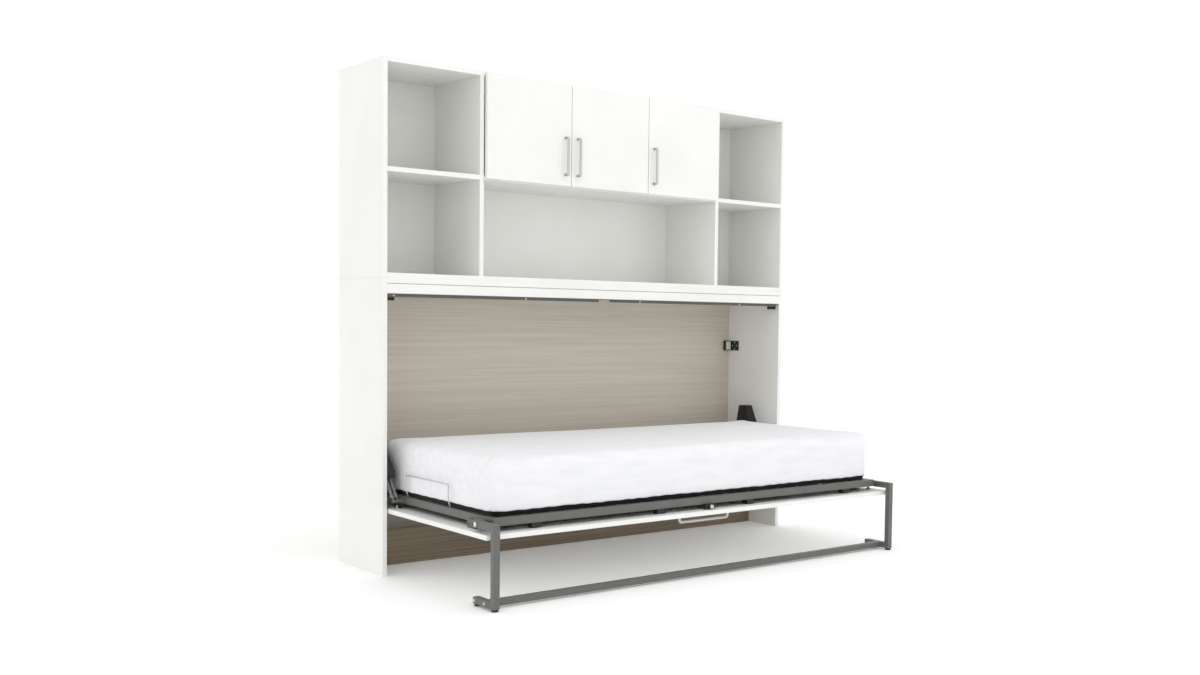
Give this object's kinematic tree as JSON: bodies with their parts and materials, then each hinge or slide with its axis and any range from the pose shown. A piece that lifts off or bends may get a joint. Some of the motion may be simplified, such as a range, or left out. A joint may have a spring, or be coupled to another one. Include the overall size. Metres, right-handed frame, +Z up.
{
  "type": "wall bed",
  "caption": "Horizontal fold-down single wall bed in a white cabinet with open niches and doors above, a steel slatted frame, a mattress and a folding leg frame.",
  "frame": {"origin": "where the wall meets the floor, half way along the cabinet: the bottom edge of the lowest wall rail's rear face", "axes": "+Z up, +Y into the wall, so the bed opens towards -Y; -X is the left-hand end seen from the front"},
  "size_m": [2.16, 1.224, 2.063],
  "materials": {
    "white_board": "white melamine-faced board, satin",
    "greige_board": "greige melamine-faced board, matte",
    "grey_powder_coat": "grey powder coat, satin",
    "satin_steel": "satin steel",
    "chrome": "bright chrome, polished",
    "black_plastic": "black moulded plastic, matte",
    "cream_plastic": "cream moulded plastic, matte",
    "beech_ply": "moulded beech plywood, satin",
    "mattress_cloth": "white cotton over a black base, matte"
  },
  "bodies": {
    "root": {"lower_side_left": "white_board", "lower_side_right": "white_board", "lower_top": "white_board", "pelmet": "white_board", "lower_back": "greige_board", "traverse": "greige_board", "wall_rails": "white_board", "stiffener_angle": "grey_powder_coat", "panel_buffers": "cream_plastic", "top_catches": "black_plastic", "side_catches": "black_plastic", "catch_bumpers": "cream_plastic", "hinge_plates": "grey_powder_coat", "mounting_screws": "satin_steel", "spring_covers": "black_plastic", "lift_springs": "satin_steel", "upper_side_left": "white_board", "upper_side_right": "white_board", "upper_top": "white_board", "upper_bottom": "white_board", "niche_dividers": "white_board", "compartment_divider": "white_board", "centre_shelf": "white_board", "column_shelves": "white_board", "upper_back": "white_board", "niche_back": "white_board", "unit_bolts": "satin_steel", "door_hinge_arms": "satin_steel"},
    "swing_arms": {"swing_arms": "grey_powder_coat"},
    "bed": {"frame_front_bar": "grey_powder_coat", "frame_rear_bar": "grey_powder_coat", "frame_end_bars": "grey_powder_coat", "frame_cross_bars": "grey_powder_coat", "slats": "beech_ply", "slat_holders": "black_plastic", "front_panel": "white_board", "panel_spacers": "black_plastic", "panel_screw_cones": "satin_steel", "panel_handle": "satin_steel", "mattress": "mattress_cloth", "mattress_retainers": "chrome", "leg_hinge_blocks": "grey_powder_coat", "leg_pivot_bolts": "chrome", "lock_body": "black_plastic"},
    "leg_frame": {"leg_top_arms": "grey_powder_coat", "leg_uprights": "grey_powder_coat", "leg_foot_arms": "grey_powder_coat", "leg_crossbar": "grey_powder_coat", "leg_feet": "black_plastic", "leg_bolts": "satin_steel"},
    "lock_knob": {"lock_knob": "chrome"},
    "door_1": {"door_1": "white_board", "door_handle_1": "satin_steel", "door_hinge_cups_1": "satin_steel"},
    "door_2": {"door_2": "white_board", "door_handle_2": "satin_steel", "door_hinge_cups_2": "satin_steel"},
    "door_3": {"door_3": "white_board", "door_handle_3": "satin_steel", "door_hinge_cups_3": "satin_steel"}
  },
  "joints": [
    {"name": "bed_tilt", "type": "hinge", "parent": "root", "child": "swing_arms", "pos_m": [0, -0.364, 0.304], "axis": [-1, 0, 0], "range_deg": [0, 84], "deforming": ["lift_springs"]},
    {"name": "bed_settle", "type": "hinge", "parent": "swing_arms", "child": "bed", "pos_m": [0, -0.364, 0.304], "axis": [-1, 0, 0], "range_deg": [0, 6]},
    {"name": "leg_fold", "type": "hinge", "parent": "bed", "child": "leg_frame", "pos_m": [0, -1.093, 0.2985], "axis": [-1, 0, 0], "range_deg": [0, 180]},
    {"name": "knob_turn", "type": "hinge", "parent": "bed", "child": "lock_knob", "pos_m": [0, -1.17, 0.283], "axis": [0, -1, 0], "range_deg": [0, 90]},
    {"name": "door_1_swing", "type": "hinge", "parent": "root", "child": "door_1", "pos_m": [-0.628, -0.435, 1.8385], "axis": [0, 0, -1], "range_deg": [0, 90]},
    {"name": "door_2_swing", "type": "hinge", "parent": "root", "child": "door_2", "pos_m": [0.20833, -0.435, 1.8385], "axis": [0, 0, 1], "range_deg": [0, 90]},
    {"name": "door_3_swing", "type": "hinge", "parent": "root", "child": "door_3", "pos_m": [0.628, -0.435, 1.8385], "axis": [0, 0, 1], "range_deg": [0, 90]}
  ],
  "couplings": [
    {"joint": "bed_settle", "follows": "leg_fold", "ratio": 0.033333}
  ]
}
